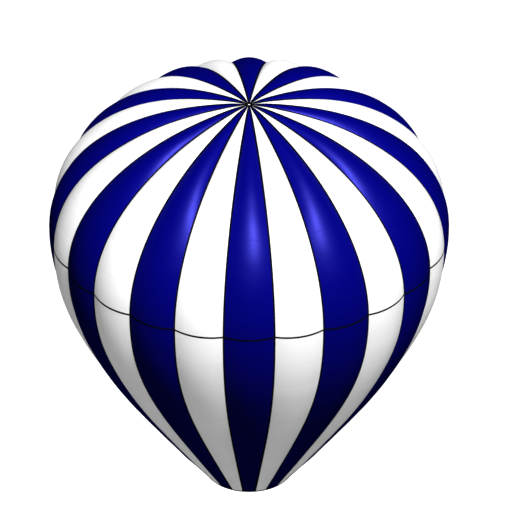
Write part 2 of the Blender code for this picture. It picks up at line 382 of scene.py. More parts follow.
def grid_faces(
    rows: int, columns: int, start: int = 0, closed: bool = False, looped: bool = False, flip: bool = False
) -> np.ndarray:
    """The quads of a grid of points that are numbered row by row.

    Args:
        rows: Rows of points.
        columns: Points in a row.
        start: Number of the first point.
        closed: Whether each row joins its own start.
        looped: Whether the last row joins the first.
        flip: Whether the faces are turned over.

    Returns:
        An array of (quads, 4) point numbers.
    """
    numbers = start + np.arange(rows * columns).reshape(rows, columns)
    if closed:
        numbers = np.concatenate([numbers, numbers[:, :1]], axis=1)
    if looped:
        numbers = np.concatenate([numbers, numbers[:1]])
    corners = (numbers[:-1, :-1], numbers[1:, :-1], numbers[1:, 1:], numbers[:-1, 1:])
    quads = np.stack([corner.ravel() for corner in corners], axis=1)
    return quads[:, ::-1] if flip else quads


@dataclass
class Surface:
    """A mesh under way: points, quads, and values for each point."""

    points: list[np.ndarray] = field(default_factory=list)
    faces: list[np.ndarray] = field(default_factory=list)
    maps: list[np.ndarray] = field(default_factory=list)
    values: list[np.ndarray] = field(default_factory=list)
    count: int = 0

    def add(self, points: np.ndarray, faces: np.ndarray, place: np.ndarray, value: np.ndarray) -> None:
        """Adds points with their faces, numbered from this patch's own first point.

        Args:
            points: The points, as (n, 3).
            faces: The quads, as (m, 4).
            place: Where each point lies on the flat cloth, in metres, as (n, 2).
            value: Distance of each point from its seam, in metres.
        """
        self.points.append(points)
        self.faces.append(faces + self.count)
        self.maps.append(place)
        self.values.append(value)
        self.count += len(points)

    def add_shell(self, outside: np.ndarray, inside: np.ndarray, place: np.ndarray, value: np.ndarray) -> None:
        """Adds an outside and an inside grid of the same shape, closed all round their rims.

        Args:
            outside: Outside points, as (rows, columns, 3).
            inside: Inside points, as (rows, columns, 3).
            place: Flat places, as (rows, columns, 2).
            value: Distances from the seam, as (rows, columns).
        """
        rows, columns = outside.shape[:2]
        size = rows * columns
        numbers = np.arange(size).reshape(rows, columns)
        rim = np.concatenate([numbers[0, :-1], numbers[:-1, -1], numbers[-1, :0:-1], numbers[:0:-1, 0]])
        after = np.roll(rim, -1)
        wall = np.stack([rim, after, after + size, rim + size], axis=1)
        faces = np.concatenate([grid_faces(rows, columns), grid_faces(rows, columns, size, flip=True), wall])
        flat = place.reshape(-1, 2)
        self.add(
            np.concatenate([outside.reshape(-1, 3), inside.reshape(-1, 3)]),
            faces,
            np.concatenate([flat, flat]),
            np.concatenate([value.ravel(), value.ravel()]),
        )

    def piece(self, name: str, finish: "Finish", sharp: float = radians(40)) -> bpy.types.Object:
        """Makes the object, with the map Cloth, the attribute seam_distance and smooth shading.

        Args:
            name: Name of the piece.
            finish: Its finish, whose slot the piece takes too.
            sharp: Angle past which an edge stays sharp.

        Returns:
            The object, at the origin, which rides on the body.
        """
        points = np.concatenate(self.points)
        faces = np.concatenate(self.faces)
        mesh = bpy.data.meshes.new(name)
        mesh.from_pydata(points.tolist(), [], faces.tolist())
        corners = np.empty(len(mesh.loops), np.int32)
        mesh.loops.foreach_get("vertex_index", corners)
        layer = mesh.uv_layers.new(name="Cloth")
        layer.data.foreach_set("uv", np.concatenate(self.maps)[corners].ravel())
        distance = mesh.attributes.new("seam_distance", "FLOAT", "POINT")
        distance.data.foreach_set("value", np.concatenate(self.values))
        mesh.materials.append(finish.material())
        mesh.shade_smooth()
        mesh.set_sharp_from_angle(angle=sharp)
        mesh.validate()
        piece = bpy.data.objects.new(name, mesh)
        bpy.context.scene.collection.objects.link(piece)
        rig.ride(piece, BODY)
        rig.slot(piece, finish.slot)
        log.info("%s: %d points, %d faces", name, len(points), len(faces))
        return piece


class NodeKit:
    """Short words for laying out a shader or a group of nodes."""

    def __init__(self, tree: bpy.types.NodeTree) -> None:
        """Keeps the tree that the nodes go into."""
        self.tree = tree

    def node(self, kind: str, **settings: object) -> bpy.types.Node:
        """Adds a node of a kind, with its settings."""
        made = self.tree.nodes.new(kind)
        for name, value in settings.items():
            setattr(made, name, value)
        return made

    def feed(self, socket: bpy.types.NodeSocket, source: object) -> None:
        """Links a socket to another, or gives it a plain value."""
        if isinstance(source, bpy.types.NodeSocket):
            self.tree.links.new(source, socket)
        else:
            socket.default_value = source

    def math(self, operation: str, *sources: object, clamp: bool = False) -> bpy.types.NodeSocket:
        """A Math node of up to three inputs."""
        made = self.node("ShaderNodeMath", operation=operation, use_clamp=clamp)
        for socket, source in zip(made.inputs, sources):
            self.feed(socket, source)
        return made.outputs[0]

    def ramp(self, value: object, low: float, high: float, start: float = 0.0, end: float = 1.0) -> bpy.types.NodeSocket:
        """A smooth Map Range from low and high to start and end."""
        made = self.node("ShaderNodeMapRange", interpolation_type="SMOOTHSTEP")
        for name, source in zip(("Value", "From Min", "From Max", "To Min", "To Max"), (value, low, high, start, end)):
            self.feed(made.inputs[name], source)
        return made.outputs[0]

    def noise(self, vector: bpy.types.NodeSocket, scale: float, detail: float = 2.0) -> bpy.types.NodeSocket:
        """A Noise Texture's factor."""
        made = self.node("ShaderNodeTexNoise")
        self.feed(made.inputs["Vector"], vector)
        self.feed(made.inputs["Scale"], scale)
        self.feed(made.inputs["Detail"], detail)
        return made.outputs[0]

    def group(self, tree: bpy.types.NodeTree, **sources: object) -> bpy.types.Node:
        """Places a node group and feeds its inputs, where a name's underscores stand for spaces."""
        made = self.node("ShaderNodeGroup", node_tree=tree)
        for name, source in sources.items():
            self.feed(made.inputs[name.replace("_", " ")], source)
        return made


def new_group(name: str, inputs: dict[str, str], outputs: dict[str, str]) -> tuple[bpy.types.NodeTree, NodeKit, dict, object]:
    """Starts a shader node group.

    Args:
        name: Name of the group.
        inputs: Kind of each input socket by its name.
        outputs: Kind of each output socket by its name.

    Returns:
        The group, a kit for it, its inputs by name and its output node.
    """
    tree = bpy.data.node_groups.new(name, "ShaderNodeTree")
    for socket, kind in inputs.items():
        tree.interface.new_socket(name=socket, in_out="INPUT", socket_type=kind)
    for socket, kind in outputs.items():
        tree.interface.new_socket(name=socket, in_out="OUTPUT", socket_type=kind)
    kit = NodeKit(tree)
    given = kit.node("NodeGroupInput")
    made = kit.node("NodeGroupOutput")
    return tree, kit, {socket: given.outputs[socket] for socket in inputs}, made


FLOAT, VECTOR = "NodeSocketFloat", "NodeSocketVector"


class Effects:
    """The shader node groups that more than one finish uses, each built once."""

    def __init__(self) -> None:
        """Builds every group."""
        self.ripstop = self._ripstop()
        self.stitches = self._stitches()
        self.gathers = self._gathers()
        self.tone = self._tone()

    @staticmethod
    def _ripstop() -> bpy.types.NodeTree:
        """Square ribs of doubled threads with fine threads between, as a height from 0 to 1."""
        tree, kit, given, made = new_group(
            "ripstop_weave", {"Cloth": VECTOR, "Rib Pitch": FLOAT, "Thread Pitch": FLOAT}, {"Height": FLOAT}
        )
        parts = kit.node("ShaderNodeSeparateXYZ")
        kit.feed(parts.inputs[0], given["Cloth"])
        ribs, threads = [], []
        for way in (0, 1):
            half_rib = kit.math("MULTIPLY", given["Rib Pitch"], 0.5)
            near = kit.math("PINGPONG", parts.outputs[way], half_rib)
            ribs.append(kit.ramp(kit.math("DIVIDE", near, half_rib), 0.0, 0.22, 1.0, 0.0))
            turns = kit.math("DIVIDE", parts.outputs[way], given["Thread Pitch"])
            threads.append(kit.math("SINE", kit.math("MULTIPLY", turns, 2 * pi)))
        weave = kit.math("MULTIPLY", kit.math("MULTIPLY", threads[0], threads[1]), 0.12)
        kit.feed(made.inputs["Height"], kit.math("ADD", kit.math("MAXIMUM", *ribs), weave))
        return tree

    @staticmethod
    def _stitches() -> bpy.types.NodeTree:
        """Two rows of stitches at either side of a line, as a mask and a height."""
        inputs = {"Distance": FLOAT, "Along": FLOAT, "First Row": FLOAT, "Second Row": FLOAT, "Stitch": FLOAT}
        tree, kit, given, made = new_group("stitch_rows", inputs, {"Mask": FLOAT, "Pull": FLOAT})
        rows = []
        for row in ("First Row", "Second Row"):
            off = kit.math("ABSOLUTE", kit.math("SUBTRACT", given["Distance"], given[row]))
            rows.append(off)
        near = kit.math("MINIMUM", *rows)
        line = kit.ramp(near, 0.0006, 0.0012, 1.0, 0.0)
        half = kit.math("MULTIPLY", given["Stitch"], 0.5)
        gap = kit.math("PINGPONG", given["Along"], half)
        dash = kit.ramp(kit.math("DIVIDE", gap, half), 0.12, 0.30, 0.0, 1.0)
        kit.feed(made.inputs["Mask"], kit.math("MULTIPLY", line, dash))
        kit.feed(made.inputs["Pull"], kit.ramp(near, 0.0, 0.0045, 1.0, 0.0))
        return tree

    @staticmethod
    def _gathers() -> bpy.types.NodeTree:
        """Short creases square to a gathered edge, which fade away from it, as a height from 0 to 1."""
        inputs = {"Cloth": VECTOR, "Distance": FLOAT, "Reach": FLOAT}
        tree, kit, given, made = new_group("gathered_edge", inputs, {"Height": FLOAT})
        parts = kit.node("ShaderNodeSeparateXYZ")
        kit.feed(parts.inputs[0], given["Cloth"])
        drawn = kit.node("ShaderNodeCombineXYZ")
        kit.feed(drawn.inputs[0], kit.math("MULTIPLY", parts.outputs[1], 11.0))
        kit.feed(drawn.inputs[1], kit.math("MULTIPLY", given["Distance"], 1.6))
        kit.feed(drawn.inputs[2], kit.math("MULTIPLY", parts.outputs[0], 0.9))
        crease = kit.noise(drawn.outputs[0], 1.0, 2.0)
        fade = kit.ramp(kit.math("DIVIDE", given["Distance"], given["Reach"]), 0.0, 1.0, 1.0, 0.0)
        kit.feed(made.inputs["Height"], kit.math("MULTIPLY", crease, kit.math("MULTIPLY", fade, fade)))
        return tree

    @staticmethod
    def _tone() -> bpy.types.NodeTree:
        """Broad fading and fine mottling of a dyed cloth, as a factor near 1."""
        tree, kit, given, made = new_group("dye_tone", {"Place": VECTOR, "Amount": FLOAT}, {"Factor": FLOAT})
        broad = kit.noise(given["Place"], 0.35, 3.0)
        fine = kit.noise(given["Place"], 9.0, 4.0)
        both = kit.math("ADD", kit.math("MULTIPLY", broad, 0.7), kit.math("MULTIPLY", fine, 0.3))
        swing = kit.math("MULTIPLY", kit.math("SUBTRACT", both, 0.5), given["Amount"])
        kit.feed(made.inputs["Factor"], kit.math("ADD", swing, 1.0))
        return tree


@dataclass(frozen=True)
class Finish:
    """A material of this envelope: its colour, its gloss and the slot that it fills."""

    slot: str
    color: tuple[float, float, float]
    roughness: float
    metallic: float = 0.0
    specular: float = 0.5
    gloss_tint: tuple[float, float, float] = (1.0, 1.0, 1.0)
    effects: Effects | None = None

    def material(self) -> bpy.types.Material:
        """The finish's material, made the first time that a piece asks for it."""
        name = f"{self.slot}_finish"
        found = bpy.data.materials.get(name)
        if found:
            return found
        made = bpy.data.materials.new(name)
        made.use_nodes = True
        made.diffuse_color = (*self.color, 1.0)
        shader = made.node_tree.nodes["Principled BSDF"]
        shader.inputs["Metallic"].default_value = self.metallic
        shader.inputs["Specular IOR Level"].default_value = self.specular
        shader.inputs["Specular Tint"].default_value = (*self.gloss_tint, 1.0)
        self.dress(NodeKit(made.node_tree), shader)
        return made

    def dress(self, kit: NodeKit, shader: bpy.types.Node) -> None:
        """Lays out the pattern that feeds the shader. A plain finish has its colour alone."""
        kit.feed(shader.inputs["Base Color"], (*self.color, 1.0))
        kit.feed(shader.inputs["Roughness"], self.roughness)

    def shaded(self, kit: NodeKit, factor: bpy.types.NodeSocket) -> bpy.types.NodeSocket:
        """The colour times a factor."""
        made = kit.node("ShaderNodeVectorMath", operation="SCALE")
        kit.feed(made.inputs[0], self.color)
        kit.feed(made.inputs["Scale"], factor)
        return made.outputs[0]

    def bump(self, kit: NodeKit, shader: bpy.types.Node, height: bpy.types.NodeSocket, depth: float) -> None:
        """Feeds the shader's normal from a height of 0 to 1 and the depth that 1 stands for."""
        made = kit.node("ShaderNodeBump")
        kit.feed(made.inputs["Distance"], depth)
        kit.feed(made.inputs["Height"], height)
        kit.feed(shader.inputs["Normal"], made.outputs[0])


@dataclass(frozen=True)
class GoreFinish(Finish):
    """Coated ripstop nylon, with its cross seams and the stitching along its edges."""

    rib_pitch: float = 0.008
    thread_pitch: float = 0.0012
    panel_height: float = 1.3967
    seam_width: float = 0.014
    gather_reach: float = 0.34
    gather_height: float = 9.0
    tone_amount: float = 0.10

    def dress(self, kit: NodeKit, shader: bpy.types.Node) -> None:
        """Tone and cross seams in the colour, and weave, seams and stitches in the normal."""
        cloth = kit.node("ShaderNodeUVMap", uv_map="Cloth").outputs[0]
        edge = kit.node("ShaderNodeAttribute", attribute_name="seam_distance").outputs["Fac"]
        flat = kit.node("ShaderNodeSeparateXYZ")
        kit.feed(flat.inputs[0], cloth)
        along = flat.outputs[1]
        weave = kit.group(self.effects.ripstop, Cloth=cloth, Rib_Pitch=self.rib_pitch, Thread_Pitch=self.thread_pitch)
        side = kit.group(
            self.effects.stitches, Distance=edge, Along=along, First_Row=0.041, Second_Row=0.049, Stitch=0.006
        )
        near_seam = kit.math("PINGPONG", along, self.panel_height / 2)
        fell = kit.ramp(near_seam, self.seam_width / 2 - 0.002, self.seam_width / 2, 1.0, 0.0)
        cross = kit.group(
            self.effects.stitches, Distance=near_seam, Along=flat.outputs[0], First_Row=0.002, Second_Row=0.005,
            Stitch=0.006,
        )
        mottle = kit.node("ShaderNodeTexCoord").outputs["Object"]
        tone = kit.group(self.effects.tone, Place=mottle, Amount=self.tone_amount).outputs[0]
        threads = kit.math("MAXIMUM", side.outputs["Mask"], cross.outputs["Mask"])
        panel = kit.node("ShaderNodeTexWhiteNoise", noise_dimensions="2D")
        spot = kit.node("ShaderNodeCombineXYZ")
        kit.feed(spot.inputs[0], kit.math("FLOOR", kit.math("DIVIDE", flat.outputs[0], 10.0)))
        kit.feed(spot.inputs[1], kit.math("FLOOR", kit.math("DIVIDE", along, self.panel_height)))
        kit.feed(panel.inputs[0], spot.outputs[0])
        lot = kit.math("MULTIPLY_ADD", panel.outputs[0], 0.03, 0.985)
        shade = kit.math("MULTIPLY", kit.math("MULTIPLY", tone, lot), kit.math("MULTIPLY_ADD", threads, -0.18, 1.0))
        kit.feed(shader.inputs["Base Color"], self.shaded(kit, shade))
        gloss = kit.math("MULTIPLY_ADD", weave.outputs[0], 0.03, self.roughness)
        kit.feed(shader.inputs["Roughness"], kit.math("MULTIPLY_ADD", fell, 0.05, gloss))
        gathers = kit.group(self.effects.gathers, Cloth=cloth, Distance=edge, Reach=self.gather_reach)
        pull = kit.math("MULTIPLY_ADD", side.outputs["Pull"], -0.5, kit.math("MULTIPLY", threads, 0.6))
        pull = kit.math("MULTIPLY_ADD", gathers.outputs[0], self.gather_height, pull)
        relief = kit.math("ADD", kit.math("MULTIPLY", weave.outputs[0], 0.12), kit.math("ADD", fell, pull))
        self.bump(kit, shader, relief, 0.0010)


@dataclass(frozen=True)
class WebbingFinish(Finish):
    """Flat polyester webbing: a twill of ribs along it, selvedges and two rows of stitches."""

    rib_pitch: float = 0.0032
    pick_pitch: float = 0.0024
    half_width: float = 0.037
    stitch: float = 0.009

    def dress(self, kit: NodeKit, shader: bpy.types.Node) -> None:
        """Ribs and stitches in the normal, and paler thread in the colour."""
        cloth = kit.node("ShaderNodeUVMap", uv_map="Cloth").outputs[0]
        edge = kit.node("ShaderNodeAttribute", attribute_name="seam_distance").outputs["Fac"]
        flat = kit.node("ShaderNodeSeparateXYZ")
        kit.feed(flat.inputs[0], cloth)
        ribs = kit.math("SINE", kit.math("MULTIPLY", flat.outputs[0], 2 * pi / self.rib_pitch))
        picks = kit.math("SINE", kit.math("MULTIPLY", flat.outputs[1], 2 * pi / self.pick_pitch))
        twill = kit.math("SINE", kit.math("ADD", kit.math("MULTIPLY", flat.outputs[0], 1900.0),
                                          kit.math("MULTIPLY", flat.outputs[1], 1500.0)))
        rows = kit.group(
            self.effects.stitches, Distance=edge, Along=flat.outputs[1], First_Row=self.half_width - 0.005,
            Second_Row=self.half_width - 0.009, Stitch=self.stitch,
        )
        place = kit.node("ShaderNodeTexCoord").outputs["Object"]
        tone = kit.group(self.effects.tone, Place=place, Amount=0.5).outputs[0]
        shade = kit.math("MULTIPLY", tone, kit.math("MULTIPLY_ADD", rows.outputs["Mask"], 3.0, 1.0))
        kit.feed(shader.inputs["Base Color"], self.shaded(kit, shade))
        kit.feed(shader.inputs["Roughness"], kit.math("MULTIPLY_ADD", twill, 0.05, self.roughness))
        weave = kit.math("ADD", kit.math("MULTIPLY", kit.math("MULTIPLY", ribs, picks), 0.35), kit.math("MULTIPLY", twill, 0.25))
        relief = kit.math("ADD", weave, kit.math("MULTIPLY_ADD", rows.outputs["Pull"], -0.8, rows.outputs["Mask"]))
        self.bump(kit, shader, relief, 0.0004)


@dataclass(frozen=True)
class RingFinish(Finish):
    """Dark anodised aluminium with a turned surface and a little bright wear."""

    def dress(self, kit: NodeKit, shader: bpy.types.Node) -> None:
        """Wear in the colour, and fine turning marks in the normal."""
        place = kit.node("ShaderNodeTexCoord").outputs["Object"]
        parts = kit.node("ShaderNodeSeparateXYZ")
        kit.feed(parts.inputs[0], place)
        across = kit.math("POWER", parts.outputs[0], 2.0)
        reach = kit.math("SQRT", kit.math("ADD", across, kit.math("POWER", parts.outputs[1], 2.0)))
        marks = kit.math("SINE", kit.math("MULTIPLY", reach, 9000.0))
        wear = kit.ramp(kit.noise(place, 60.0, 5.0), 0.60, 0.72)
        kit.feed(shader.inputs["Base Color"], self.shaded(kit, kit.math("MULTIPLY_ADD", wear, 3.0, 1.0)))
        kit.feed(shader.inputs["Roughness"], kit.math("MULTIPLY_ADD", wear, -0.08, self.roughness))
        self.bump(kit, shader, marks, 0.00005)


@dataclass
class Gore:
    """One gore of the envelope, as an upper and a lower cloth panel."""

    shape: EnvelopeShape
    number: int
    finish: GoreFinish
    columns: int = 25
    row_spacing: float = 0.125
    crown_gap: float = 0.172
    pucker_height: float = 0.0030
    pucker_reach: float = 0.20
    pillow_height: float = 0.004
    cut_rows: int = 60

    def relief(self, levels: Levels, across: np.ndarray, start: float) -> np.ndarray:
        """The cloth's small waves over its smooth arc.

        Near a load tape the cloth is gathered: three sine waves along the tape, with their own
        phases at each side, which fade as exp(-d / reach) with the distance d from the tape and
        vanish on it. Between the cross seams it swells by a squared sine.

        Args:
            levels: Stations of the panel.
            across: Shares from -1 to 1 across the gore.
            start: Length along the whole gore at which the panel starts.

        Returns:
            The rise at each station and share, in metres.
        """
        radius, _, edge = self.shape.arc(levels)
        along = start + levels.length
        rng = np.random.default_rng(500 + self.number)
        total = np.zeros((len(along), len(across)))
        for side in (-1.0, 1.0):
            distance = radius[:, None] * edge[:, None] * (1.0 - side * across[None, :])
            fade = np.exp(-distance / self.pucker_reach) * smooth_step(0.0, 0.09, distance)
            lean = rng.uniform(-0.5, 0.5, 3)
            phase = rng.uniform(0, 2 * pi, 3)
            for turn, wave, share in zip(range(3), (0.31, 0.47, 0.83), (0.40, 0.35, 0.25)):
                swing = np.sin(2 * pi * (along[:, None] + lean[turn] * distance) / wave + phase[turn])
                total += share * self.pucker_height * fade * swing
        width = smooth_step(0.0, 1.2, levels.radius)[:, None]
        swell = np.sin(pi * along / self.finish.panel_height)[:, None] ** 2 * (1.0 - across[None, :] ** 2)
        return (total + self.pillow_height * (swell - 0.5 * (1.0 - across[None, :] ** 2))) * width

    def flat_size(self, levels: Levels, across: np.ndarray) -> dict[str, tuple[float, float] | float]:
        """The panel's size when it is laid flat, without seam allowances.

        Its width is that of its widest arc, its length is measured along its middle, and its area
        is the sum of each station's arc times the mean way from that station to the next.

        Args:
            levels: Stations of the panel.
            across: Shares from -1 to 1 across the gore.

        Returns:
            The flat width and length in metres, and the area in square metres.
        """
        radius, _, edge = self.shape.arc(levels)
        ways = np.linalg.norm(np.diff(self.shape.gore_surface(levels, across), axis=0), axis=-1)
        half_widths = (radius * edge)[:-1] + np.diff(radius * edge) / 2
        area = float((np.trapz(ways, across, axis=1) * half_widths).sum())
        return {"flat": (2 * float((radius * edge).max()), float(ways[:, len(across) // 2].sum())), "area": area}

    def panel(self, half: Half) -> bpy.types.Object:
        """One panel as a closed shell, which replaces its solid and is declared a stretched sheet."""
        shape = self.shape
        first = self.crown_gap if half is Half.UPPER else 0.0
        span = shape.levels(half, 2, first).length
        rows = int((span[-1] - span[0]) / self.row_spacing) + 2
        levels = shape.levels(half, rows, first)
        across = np.linspace(-1.0, 1.0, self.columns)
        across = np.sign(across) * (1.0 - (1.0 - np.abs(across)) ** 1.25)
        start = 0.0 if half is Half.UPPER else shape.levels(Half.UPPER, 2).length[-1]
        relief = self.relief(levels, across, start)
        sides = [shape.gore_surface(levels, across, depth, relief) for depth in (0.0, shape.shell)]
        if half is Half.LOWER:
            for side in sides:
                run_level(side, -1, -2, 0.0)
        radius, _, edge = shape.arc(levels)
        flat_across = (radius * edge)[:, None] * across[None, :]
        flat_along = np.broadcast_to((start + levels.length)[:, None], flat_across.shape)
        place = np.stack([flat_across + 10.0 * self.number + 5.0, flat_along], axis=-1)
        distance = (radius * edge)[:, None] * (1.0 - np.abs(across))[None, :]
        turn = shape.gore_turn(self.number)
        surface = Surface()
        surface.add_shell(turned(sides[0], turn), turned(sides[1], turn), place, distance)
        node = f"gore_{half.value}_{self.number + 1:02d}"
        piece = surface.piece(f"{node}_cloth", self.finish)
        piece.visible_glossy = False
        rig.replaces(piece, node)
        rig.sheet(piece, held="stretched", rests_on=["load_tape_webbing"], **self.flat_size(levels, across))
        return piece


@dataclass
class LoadTapes:
    """The upright tapes in the valleys and the hub where they meet on the crown."""

    shape: EnvelopeShape
    finish: WebbingFinish
    width: float = 0.074
    crown_share: float = 0.80
    thickness: float = 0.0030
    row_spacing: float = 0.14
    inner_width: float = 0.030
    inner_thickness: float = 0.0012
    hub_radius: float = 0.182
    hub_bore: float = 0.050
    hub_thickness: float = 0.0100
    seat_radius: float = 0.088
    groove_depth: float = 0.0022
    top_points: int = 9
    valley_round: float = 0.004
    clearance: float = 0.0002

    def profile(self, half: np.ndarray, slope: np.ndarray) -> tuple[np.ndarray, np.ndarray]:
        """The tape's section at each station, across the valley and above its foot.

        The underside follows the two cloths, height = slope * |x|. The top is a hyperbola
        sqrt((slope * x)^2 + r^2) over it, so that the webbing bridges the valley softly.

        Args:
            half: Half of the tape's width, at each station.
            slope: Slope of the cloth beside the seam, at each station.

        Returns:
            Sideways and upward places, each as (stations, points of the closed section).
        """
        share = np.linspace(-1.0, 1.0, self.top_points)
        top = share * half[:, None]
        under = np.linspace(1.0, -1.0, 5) * half[:, None]
        fall = slope[:, None] * top
        bridge = np.sqrt(fall**2 + self.valley_round**2) - self.valley_round * np.exp(-np.abs(top) / 0.01)
        selvedge = self.thickness * (1.0 - 0.55 * smooth_step(0.86, 1.0, np.abs(share)))
        rise = np.where(slope[:, None] > 0.0, np.maximum(bridge, np.abs(fall)), -np.abs(fall)) + selvedge
        foot = slope[:, None] * np.abs(under) + self.clearance
        return np.concatenate([top, under], axis=1), np.concatenate([rise, foot], axis=1)

    def stations(self) -> Levels:
        """Stations from the hub down to the mouth, with the widest line once."""
        shape = self.shape
        rows = []
        for half, first in ((Half.UPPER, self.hub_radius - 0.01), (Half.LOWER, 0.0)):
            length = shape.levels(half, 2, first).length
            count = int((length[-1] - length[0]) / self.row_spacing) + 2
            rows.append(shape.levels(half, count, first))
        upper, lower = rows
        run = np.concatenate([upper.length, upper.length[-1] + lower.length[1:]])
        names = ("radius", "height", "out", "up", "bulge")
        joined = [np.concatenate([getattr(upper, name), getattr(lower, name)[1:]]) for name in names]
        return Levels(*joined, run)

    def tape(self, surface: Surface, levels: Levels, seam: int) -> None:
        """Adds one tape: its section carried down the seam in the seam's own plane."""
        shape = self.shape
        _, _, edge = shape.arc(levels)
        lean = np.arctan(tan(shape.half_angle) * levels.out)
        room = 2 * levels.radius * sin(shape.half_angle)
        half = np.minimum(self.width, self.crown_share * room) / 2
        side, up = self.profile(half, np.tan(edge - lean))
        out = levels.radius[:, None] + up * levels.out[:, None]
        height = levels.height[:, None] + up * levels.up[:, None]
        points = np.stack([out, side, height], axis=-1)
        points[-1, :, 2] = 0.0
        rows, columns = points.shape[:2]
        faces = grid_faces(rows, columns, closed=True)
        numbers = np.arange(rows * columns).reshape(rows, columns)
        top, under = numbers[:, : self.top_points], numbers[:, self.top_points :]
        caps = [strip_cap(top[0], under[0], False), strip_cap(top[-1], under[-1], True)]
        along = np.broadcast_to(levels.length[:, None], side.shape)
        place = np.stack([side + 0.5 * seam, along], axis=-1).reshape(-1, 2)
        surface.add(
            turned(points, shape.seam_turn(seam)).reshape(-1, 3),
            np.concatenate([faces[:, ::-1], *caps]),
            place,
            np.abs(side).ravel(),
        )

    def inner_ply(self, surface: Surface, levels: Levels, seam: int) -> None:
        """Adds the tape that is sewn over one seam on the inside: flat sides that meet at the seam."""
        shape = self.shape
        radius, _, edge = shape.arc(levels, shape.shell)
        half = np.minimum(self.inner_width, self.crown_share * 2 * levels.radius * sin(shape.half_angle)) / 2
        near = 1.0 - half / (radius * edge)
        sides = []
        for depth in (shape.shell + self.clearance, shape.shell + self.clearance + self.inner_thickness):
            left = shape.gore_surface(levels, np.column_stack([near, np.ones_like(near)]), depth)
            right = shape.gore_surface(levels, np.column_stack([-near, -near]), depth)[:, :1]
            sides.append(np.concatenate(
                [turned(left, -shape.half_angle), turned(right, shape.half_angle)], axis=1
            ))
        points = np.concatenate([sides[0], sides[1][:, ::-1]], axis=1)
        points[-1, :, 2] = 0.0
        rows, columns = points.shape[:2]
        ends = np.array([(0, 1, 4, 5), (1, 2, 3, 4)])
        last = (rows - 1) * columns
        faces = np.concatenate([grid_faces(rows, columns, closed=True), ends[:, ::-1], last + ends])
        side = points[..., 1]
        along = np.broadcast_to(levels.length[:, None], side.shape)
        place = np.stack([side + 0.5 * seam + 0.25, along], axis=-1).reshape(-1, 2)
        surface.add(turned(points, shape.seam_turn(seam)).reshape(-1, 3), faces, place, np.abs(side).ravel())

    def hub(self, surface: Surface) -> None:
        """Adds the hub, where the tapes' ends lie side by side under the ring.

        Its top is level under the ring's seat, and goes by a smooth step to the tapes' own top at
        the rim, which lies on the gores' arcs. A groove runs between each two tapes.
        """
        shape = self.shape
        crown = shape.levels(Half.UPPER, 2, self.hub_radius)
        base = float(crown.height[0])
        shares = np.array([-0.94, -0.87, -0.6, -0.2, 0.2, 0.6, 0.87, 0.94, 1.0])
        middles = shape.seam_turn(0) + 2 * shape.half_angle * np.arange(shape.gore_count)
        turns = (middles[:, None] + shape.half_angle * shares[None, :]).ravel()
        radii = np.linspace(self.hub_bore, self.hub_radius, 16)
        bulge = 2 * self.hub_radius * sin(shape.half_angle) * shape.bulge_above
        rim = self.thickness + 0.0004 + bulge * (1.0 - (1.0 - np.abs(shares)) ** 2)
        outwards = smooth_step(self.seat_radius, self.hub_radius, radii)[:, None]
        groove = self.groove_depth * smooth_step(0.84, 1.0, np.abs(shares))[None, :]
        opening = smooth_step(self.hub_bore, self.seat_radius, radii)[:, None] * (1.0 - outwards)
        lift = self.hub_thickness + (rim[None, :] - self.hub_thickness) * outwards - groove * opening
        lift = np.tile(lift, (1, shape.gore_count))
        top = ring_grid(radii, turns, base + lift)
        foot = ring_grid(radii, turns, np.full(lift.shape, base + self.clearance))
        loop = np.concatenate([top, foot[::-1]])
        faces = grid_faces(len(loop), len(turns), closed=True, looped=True)
        place = np.stack([loop[..., 0], loop[..., 1]], axis=-1).reshape(-1, 2)
        surface.add(loop.reshape(-1, 3), faces, place, np.full(loop[..., 0].size, 1.0))

    def build(self) -> bpy.types.Object:
        """All tapes and the hub as one piece, which replaces their solid."""
        surface = Surface()
        levels = self.stations()
        for seam in range(self.shape.gore_count):
            self.tape(surface, levels, seam)
            self.inner_ply(surface, levels, seam)
        self.hub(surface)
        piece = surface.piece("load_tape_webbing", self.finish)
        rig.replaces(piece, "load_tapes")
        return piece


def strip_cap(top: np.ndarray, under: np.ndarray, flip: bool) -> np.ndarray:
    """Quads that close the end of a section, from its top points to its underside."""
    spread = np.linspace(0, len(under) - 1, len(top)).round().astype(int)
    low = under[::-1][spread]
    quads = np.stack([top[:-1], top[1:], low[1:], low[:-1]], axis=1)
    same = quads[:, 2] == quads[:, 3]
    quads[same, 3] = quads[same, 2]
    return quads[:, ::-1] if flip else quads


def ring_grid(radii: np.ndarray, turns: np.ndarray, height: np.ndarray) -> np.ndarray:
    """Points at each radius and turn round the Z axis, as (radii, turns, 3)."""
    x = radii[:, None] * np.cos(turns)[None, :]
    y = radii[:, None] * np.sin(turns)[None, :]
    return np.stack([x, y, height], axis=-1)


